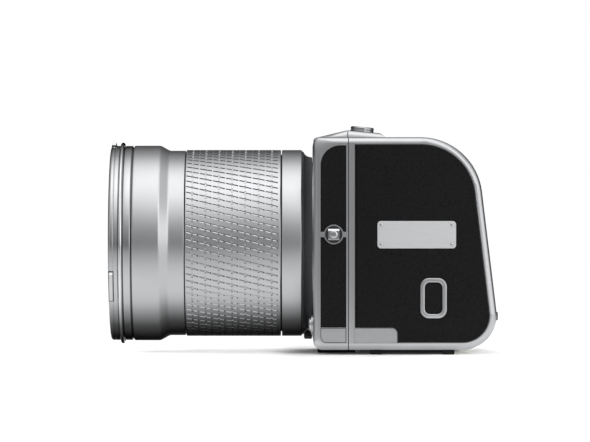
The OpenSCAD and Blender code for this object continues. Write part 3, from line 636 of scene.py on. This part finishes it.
def strap_studs():
    """Strap studs, one on each side: a squared head with a domed middle, in a dark lining that
    paints the shade of its recess.
    """
    half = 2.25
    outline = [(2.9, -half), (4.65, -half), (5.2, -1.75), (4.9, -1.65), (4.9, -1.45), (5.2, -1.35),
               (5.2, 1.1), (4.9, 1.2), (4.9, 1.4), (5.2, 1.5), (4.45, half), (2.9, half)]
    turns = [math.radians(9 * i) for i in range(11)]
    swell = [(1.55 * math.cos(t), 5.16 + 0.34 * math.sin(t)) for t in turns]
    hollow = eased([(1.6, -2.95), (3.45, -2.95), (3.45, -0.4), (3.3, -0.4), (3.2, -2.4),
                    (1.6, -2.4)], 0.1)
    for side, name in ((1, "left"), (-1, "right")):
        at, along = (side * HALF_W, LUG_Y, LUG_Z), (side, 0, 0)
        stem = turned([(1.5, -3.0), (1.5, 3.1)], at, along, 48, closed=False)
        dome = turned(swell, at, along, 48, closed=False)
        head = prism(*([(side * (HALF_W + out), LUG_Y + y, LUG_Z + z) for out, z in outline]
                       for y in (-half, half)))
        piece("strap_stud_" + name, joined(head, stem, dome), "front_module", POLISHED,
              ["strap_lugs"], crease=24)
        # A dark lacquer lining in each stud's recess paints its shade.
        piece("stud_recess_shade_" + name, turned(hollow, at, along, 64), "front_module", LACQUER_AND_SHADE)


def nameplate():
    """Bare plate on the door with four round rivets."""
    top, inset = SKIN_X + SKIN_T, 1.6
    outline = rounded(PLATE_LOW, PLATE_HIGH, [1.4] * 4)
    piece("bare_plate", slab([outline], top, top + 0.6, 0.35, 4), "door", NAMEPLATE,
          ["nameplate"])
    turns = [math.radians(15 * i) for i in range(7)]
    dome = [(0.8, 0.5), (0.8, 0.62)]
    dome += [(0.78 * math.cos(t), 0.66 + 0.42 * math.sin(t)) for t in turns]
    rivets = [turned(dome, (top, y, z), (1, 0, 0), 24, closed=False)
              for y in (PLATE_LOW[0] + inset, PLATE_HIGH[0] - inset)
              for z in (PLATE_LOW[1] + inset, PLATE_HIGH[1] - inset)]
    piece("plate_rivets", joined(*rivets), "door", POLISHED)


def badge_shade_sheet():
    """Thin black sheet under the front corner plate, painted shade: it shows as a thin dark line
    round it.
    """
    outline = rounded((-4.2, 4.85), (6.2, 10.8), [2.5, 0.2, 0.2, 0.2])
    under, shade_t = SKIN_X + 0.2, 0.06
    # The black sheet paints the shade line round the plate.
    piece("badge_shade_sheet", slab([outline], under, under + shade_t, 0.02, 1), "front_module", RUBBER_AND_SHADE)


def latch():
    """Raised oblong ring round the door latch."""
    y, z = LATCH
    outer = rounded((y - 5.4, z - 8.2), (y + 5.4, z + 8.2), [3.6] * 4, 14)
    inner = rounded((y - 3.5, z - 6.35), (y + 3.5, z + 6.35), [2.1] * 4, 14)[::-1]
    piece("latch_ring", slab([outer, inner], SKIN_X, HALF_W + 0.3, 0.5, 4), "door", ALUMINIUM,
          ["latch_bezel"])


def rear_outline(d, front):
    """Side outline of the back, drawn in by d, its front edge at that distance from the seam."""
    top_r, low_r = 25, 14
    c = REAR_Y * math.cos(REAR_TILT) + AXIS_Z * math.sin(REAR_TILT)
    tz, lz = TOP_Z - top_r, LOW_Z + low_r
    ty = (c - top_r - tz * math.sin(REAR_TILT)) / math.cos(REAR_TILT)
    ly = (c - low_r - lz * math.sin(REAR_TILT)) / math.cos(REAR_TILT)
    tilt = math.degrees(REAR_TILT)
    low, top = arc(ly, lz, low_r - d, -90, tilt, 24), arc(ty, tz, top_r - d, tilt, 90, 36)
    return [(BACK_Y + front, LOW_Z + d)] + low + top + [(BACK_Y + front, TOP_Z - d)]


def door_skin():
    """Leather of the door, from the hinge to the rear, cut round the corner plate and the latch."""
    gap = 0.3
    edge = RIM + gap
    plate_y, plate_z, plate_r, near = 27.05, 11.05, 2.5, 0.15
    corner = arc(plate_y - plate_r, plate_z - plate_r, plate_r, 90, 0, 8)
    outline = [p for p in rear_outline(edge, SEAM_RIM + gap)
               if not (p[0] < plate_y + near and p[1] < plate_z + near)]
    outline = ([(HINGE_Y, plate_z)] + corner + [(plate_y, LOW_Z + edge)] + outline[:-1]
               + [(HINGE_Y, TOP_Z - edge)])
    y, z = LATCH
    hole = rounded((y - 4.5, z - 7.3), (y + 4.5, z + 7.3), [3.0] * 4)[::-1]
    piece("door_skin", slab([outline, hole], SKIN_X, SKIN_X + SKIN_T, 0.2), "door", LEATHER,
          ["door_leather"])


def lock_knob():
    """Lock button on the hump: a grooved disc on a stem, with a tongue into the front module."""
    up = (0, math.sin(KNOB_TILT), math.cos(KNOB_TILT))
    profile = [(0, -4.6), (1.5, -4.6), (1.5, 0), (4.3, 0), (4.8, 0.3), (4.8, 0.85), (4.6, 1.0),
               (4.6, 1.1), (4.8, 1.25), (4.8, 1.9), (4.4, 2.3), (3.7, 2.3), (3.5, 2.15), (0, 2.1)]
    disc = turned(eased(profile, 0.12), KNOB, up, 96, closed=False)
    tongue = slab([rounded((3.95, 85.0), (14.45, 86.4), [0.2] * 4, 3)], -3, 3, 0.2)
    piece("lock_knob", joined(disc, tongue), "back_lock", SATIN_CHROME,
          ["back_lock_button"])


def scroll_wheel():
    """Ribbed wheel round the shutter button."""
    ribs, fine, depth, plain_r = 40, 6, 0.45, 7.3

    def wave(r, i):
        """Ribs on the rim, none on the flat faces."""
        return r - depth * max(0.0, math.cos(2 * math.pi * i / fine)) if r > plain_r else r

    profile = eased([(4.25, -10.8), (7.1, -10.8), (7.6, -10.3), (7.6, -7.6), (7.1, -7.25),
                     (4.25, -7.25)], 0.2, 2)
    wheel = turned(profile, at=(WHEEL[0], 0, WHEEL[1]), steps=ribs * fine, wave=wave)
    piece("ribbed_wheel", wheel, "scroll_wheel", BLACK_METAL, ["front_wheel"])


def release_button():
    """Lens release: a domed button, and behind the wall a lever to the pin that locks the lens."""
    (x, z), (px, pz), r = RELEASE, LOCK_PIN, 2.8
    turns = [math.radians(10 * i) for i in range(10)]
    dome = [(r * math.cos(t), -8.3 - 0.9 * math.sin(t)) for t in turns]
    head = turned([(0, -2.0), (r, -2.0)] + dome, (x, 0, z), steps=64, closed=False)
    pin = turned([(0, -2.0), (1, -2.0), (1, -9.85), (0.85, -10), (0, -10)], (px, 0, pz), steps=32,
                 closed=False)
    way = math.degrees(math.atan2(pz - z, px - x))
    outline = arc(x, z, r, way + 90, way + 270, 16) + arc(px, pz, 1.8, way - 90, way + 90, 12)
    lever = prism(*([(p[0], y, p[1]) for p in outline] for y in (-2.4, -1.2)))
    piece("release_button", joined(head, pin, lever), "lens_release", POLISHED,
          ["lens_release_button"])


def socket_thread():
    """Thread in the tripod socket."""
    pitch, crest, root = 1.27, 2.3, 2.55
    profile = []
    for i in range(5):
        z = 0.4 + pitch * i
        profile += [(root, z), (crest, z + 0.5), (crest, z + 0.7), (root, z + 1.2)]
    profile += [(2.6, 6.7), (2.6, 0.35)]
    thread = turned(profile, at=(0, 0, 0), along=(0, 0, 1), steps=64)
    piece("socket_thread", thread, "front_module", TINNED)


outer_rings()
filter_rim()
hood_fittings()
front_glass()
knurled_sleeve()
strap_studs()
nameplate()
badge_shade_sheet()
latch()
door_skin()
lock_knob()
scroll_wheel()
release_button()
socket_thread()

# Finishes of the nodes that keep their solids: material, easing of the edges in millimetres, nodes
KEPT = [
    (ALUMINIUM, 0.2, "front_frame back_frame shutter_release_button"),
    (BADGE, 0.1, "front_badge_plate back_badge_plate"),
    (LEATHER, 0.15, "front_leather right_leather side_door door_latch_button"),
    (BAYONET, 0.1, "body_bayonet lens_bayonet"),
    (TINNED, 0.05, "bayonet_screws hinge_pins"),
    (BLACK_METAL, 0, "lens_barrel iris_housing focus_cell iris_ring"),
    (BLACK_METAL, 0, "iris_blade_1 iris_blade_2 iris_blade_3 iris_blade_4 iris_blade_5"),
    (BLACK_PLASTIC, 0.2, "light_tunnel battery_bay rear_panel display_frame bottom_cover"),
    (BLACK_PLASTIC, 0.4, "menu_button_1 menu_button_2 menu_button_3 menu_button_4 menu_button_5"),
    (GOLD, 0.1, "body_contacts"),
    # The tripod plate's steel is darkened to paint the shade it lies in under the body.
    (PLATE_SHADE, 0.2, "tripod_plate"),
    (BOARD, 0, "front_board main_board"),
    (CERAMIC, 0.1, "sensor"),
    (FILTER_GLASS, 0.1, "sensor_glass"),
    (CAST, 0.2, "sensor_bracket"),
    (BATTERY, 0.4, "battery"),
    (TINNED, 0.15, "card_and_port_block"),
    (RUBBER_AND_SHADE, 0.3, "back_feet"),
    (SCREEN, 0.1, "display_glass"),
    (LENS_GLASS, 0, "rear_element focus_element"),
]
for material, ease, names in KEPT:
    for name in names.split():
        dress(name, material, ease)

# Studio


def shown_rays(tree):
    """One for the rays that show the table: camera, glossy and transmission rays."""
    ray = add(tree, "LightPath").outputs
    seen = ray["Is Camera Ray"]
    for kind in ("Is Glossy Ray", "Is Transmission Ray"):
        seen = add(tree, "Math", {0: seen, 1: ray[kind]}, operation="MAXIMUM").outputs[0]
    return seen


def bare_material(name):
    """A material with nothing but its output, and its tree."""
    material = bpy.data.materials.new(name)
    material.use_nodes = True
    tree = material.node_tree
    tree.nodes.remove(tree.nodes["Principled BSDF"])
    return material, tree


def stage_mesh(name, points, faces, material):
    """A mesh of the studio, in metres, that is no part of the camera."""
    mesh = bpy.data.meshes.new(name)
    mesh.from_pydata(points, [], faces)
    mesh.materials.append(material)
    made = bpy.data.objects.new(name, mesh)
    bpy.context.scene.collection.objects.link(made)
    return made


def pale_floor():
    """White table: it takes the object's shadow, and is white where nothing shades it."""
    material, tree = bare_material("white_table")
    matt = add(tree, "BsdfDiffuse", in_0=linear("#FEFEFE"))
    glow = add(tree, "Emission", in_0=linear("#FFFFFF"))
    lift = add(tree, "Math", {0: shown_rays(tree)}, operation="MULTIPLY", in_1=0.018)
    plug(tree, glow, strength=lift)
    both = add(tree, "AddShader", {0: matt.outputs[0], 1: glow.outputs[0]})
    plug(tree, tree.nodes["Material Output"], surface=both)
    size = 40
    corners = [(-size, -size, 0), (size, -size, 0), (size, size, 0), (-size, size, 0)]
    stage_mesh("white_table", corners, [(0, 1, 2, 3)], material)


def level(table, at):
    """Value between the pairs of a table."""
    for (x0, y0), (x1, y1) in zip(table, table[1:]):
        if at <= x1:
            return y0 + (y1 - y0) * max(0.0, at - x0) / (x1 - x0)
    return table[-1][1]


def bell(off, width):
    """One in the middle, fading over that width."""
    return math.exp(-(off / width) ** 2)


def light_tent():
    """Tent that only reflections see: bright overhead, dark behind the object and under it."""
    material, tree = bare_material("tent_cloth")
    shade = add(tree, "Attribute", attribute_name="glow").outputs["Fac"]
    glow = add(tree, "Emission", {"Strength": shade}, in_0=linear("#FFFFFF"))
    plug(tree, tree.nodes["Material Output"], surface=glow)
    reach, around = 1.6, 96
    lens_end, back_end = -0.085, 0.035
    sky = [(-0.45, 0.0), (-0.1, 0.02), (0.25, 0.2), (0.57, 0.42), (0.73, 0.7), (0.88, 1.1),
           (0.98, 1.42), (1.03, 1.65)]
    table = [(0.0, 0.0), (0.007, 0.01), (0.018, 0.08), (0.028, 0.38), (0.038, 0.8), (0.05, 0.9),
             (0.067, 0.9), (0.095, 0.8), (0.15, 0.6), (0.45, 0.26), (reach, 0.2)]

    def panel(x, y, e):
        """Tall panels at the front and the rear, and a narrow strip near the rear one."""
        side = math.degrees(math.atan2(y, x))
        tall = bell(abs(side) - 66, 25) * bell(e - 10, 24)
        strip = bell(side - 33, 8) * bell(max(0, e - 40), 15)
        return (1.4 if side > 0 else 0.35) * tall + 1.5 * strip

    def under(x, y):
        """Light from the table: little under the object, most beside it, less far away.

        The dark part is 13 mm wider to each side under the body than under the lens.
        """
        beside = math.hypot(x, max(0.0, y - back_end, lens_end - y))
        wider = 0.013 * min(1.0, max(0.0, (y + 0.011) / 0.006))
        far = min(1.0, beside / 0.45)
        return level(table, max(0.0, beside - wider)) + 0.5 * panel(x, y, 0) * far

    def above(x, y, z, e):
        """Light from the cloth: brightest overhead, less behind the object and to its ends."""
        return level(sky, z + 0.25 * x * (1 + 1.4 * max(0.0, -x)) - 0.3 * y * y) + panel(x, y, e)

    points, glows, faces = [], [], []
    for e in range(0, 91, 5):
        flat, z = math.cos(math.radians(e)), math.sin(math.radians(e))
        for i in range(around):
            a = 2 * math.pi * i / around
            x, y = flat * math.cos(a), flat * math.sin(a)
            points.append((reach * x, reach * y, reach * z))
            glows.append(above(x, y, z, e))
    for k in range(len(points) // around - 1):
        for i in range(around):
            j = (i + 1) % around
            low, high = k * around, (k + 1) * around
            faces.append((low + i, low + j, high + j, high + i))
    half = [0.007, 0.018, 0.028, 0.038, 0.045, 0.05, 0.056, 0.062, 0.07, 0.08, 0.095, 0.12, 0.15,
            0.25, 0.45, 0.8, reach]
    across = [-x for x in reversed(half)] + [0.0] + half
    along = ([lens_end - x for x in reversed(half)] + [lens_end + 0.005 * i for i in range(30)]
             + [x + 0.06 for x in half])
    first, n, over_table = len(points), len(across), 0.0006
    for y in along:
        for x in across:
            points.append((x, y, over_table))
            glows.append(under(x, y))
    for k in range(len(along) - 1):
        low, high = first + k * n, first + (k + 1) * n
        faces += [(low + i, low + i + 1, high + i + 1, high + i) for i in range(n - 1)]
    tent = stage_mesh("light_tent", points, faces, material)
    tent.data.attributes.new("glow", "FLOAT", "POINT").data.foreach_set("value", glows)
    tent.visible_camera = tent.visible_diffuse = False
    tent.visible_shadow = tent.visible_volume_scatter = False


def lamp(name, place, towards, size, watts, spread=180):
    """A soft lamp that no reflection shows; a small spread in degrees makes it a beam."""
    data = bpy.data.lights.new(name, "AREA")
    data.shape = "RECTANGLE"
    data.size, data.size_y = size
    data.energy = watts
    data.spread = math.radians(spread)
    made = bpy.data.objects.new(name, data)
    made.location = place
    made.rotation_mode = "QUATERNION"
    made.rotation_quaternion = (Vector(towards) - Vector(place)).to_track_quat("-Z", "Y")
    bpy.context.scene.collection.objects.link(made)
    made.visible_camera = made.visible_glossy = False


def surroundings():
    """White room, which lights the object evenly from all sides."""
    world = bpy.data.worlds.new("white_room")
    bpy.context.scene.world = world
    world.use_nodes = True
    world.node_tree.nodes["Background"].inputs["Color"].default_value = linear("#FFFFFF")


def camera():
    """View of the left side, square on, from 1.8 m away."""
    data = bpy.data.cameras.new("side_view")
    data.lens, data.sensor_width = 265, 36
    data.clip_start, data.clip_end = 0.05, 100
    made = bpy.data.objects.new("side_view", data)
    made.location = (1.8, -0.0145, 0.0541)
    made.rotation_euler = (math.radians(90), 0, math.radians(90))
    bpy.context.scene.collection.objects.link(made)
    bpy.context.scene.camera = made


pale_floor()
light_tent()
lamp("overhead_softbox", (0.2, 0, 0.95), (0, 0, 0.04), (0.85, 1.2), 2.0)

# Narrow lamps that light the table under the lens and at both ends of the object
BEAM = 3  # spread in degrees
for side, x in (("near", 0.45), ("far", -0.45)):
    lamp("under_lens_" + side, (x, -0.062, 0.1), (0, -0.062, 0), (0.085, 0.05), 0.018, BEAM)
lamp("before_lens", (0, -0.55, 0.16), (0, -0.125, 0), (0.2, 0.05), 0.02, BEAM)
lamp("behind_back", (0, 0.55, 0.16), (0, 0.1, 0), (0.2, 0.05), 0.03, BEAM)
surroundings()
camera()
bpy.context.scene.view_settings.view_transform = "Standard"
